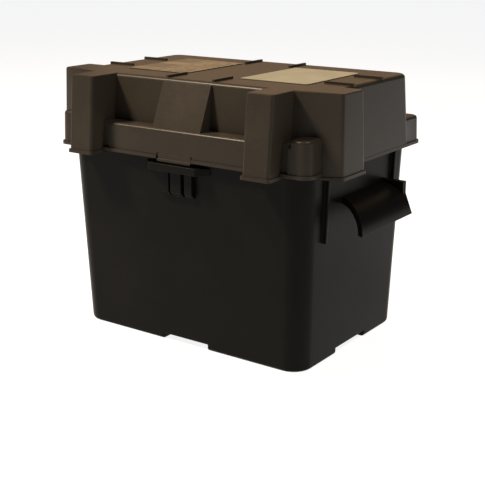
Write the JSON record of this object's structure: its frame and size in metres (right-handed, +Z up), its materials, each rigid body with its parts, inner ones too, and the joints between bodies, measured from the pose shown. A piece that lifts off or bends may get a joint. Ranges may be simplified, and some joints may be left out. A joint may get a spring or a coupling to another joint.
{
  "type": "battery box",
  "caption": "Rectangular black plastic battery box with a tapered tub, moulded end grips, a ribbed lift-off lid held by snap tabs, and film labels on top.",
  "frame": {"origin": "middle of the tub's foot plane, midway between the grips and between the tub's front and rear walls", "axes": "+X along the box towards the right grip, -Y towards the front of the box, +Z up from the floor"},
  "size_m": [0.3454, 0.2427, 0.266],
  "materials": {
    "black_plastic": "fine-grained moulded black polypropylene with a soft sheen",
    "lid_plastic": "fine-grained moulded black polypropylene, a little glossier than the tub",
    "dark_label": null,
    "pale_label": "satin plain beige film label"
  },
  "bodies": {
    "box": {"tub": "black_plastic", "grip_left": "black_plastic", "grip_right": "black_plastic", "catch_front": "black_plastic", "catch_rear": "black_plastic"},
    "lid": {"lid": "lid_plastic", "label_left": "dark_label", "label_right": "pale_label"},
    "tab_front": {"snap_tab_front": "lid_plastic"},
    "tab_rear": {"snap_tab_rear": "lid_plastic"}
  },
  "joints": [
    {"name": "lid_lift", "type": "slide", "parent": "box", "child": "lid", "axis": [0, 0, 1], "range_m": [0, 0.08]},
    {"name": "snap_front", "type": "hinge", "parent": "lid", "child": "tab_front", "pos_m": [0, -0.10485, 0.196], "axis": [1, 0, 0], "range_deg": [0, 6], "stiffness_Nm_per_rad": 0.6},
    {"name": "snap_rear", "type": "hinge", "parent": "lid", "child": "tab_rear", "pos_m": [0, 0.11085, 0.196], "axis": [-1, 0, 0], "range_deg": [0, 6], "stiffness_Nm_per_rad": 0.6}
  ]
}
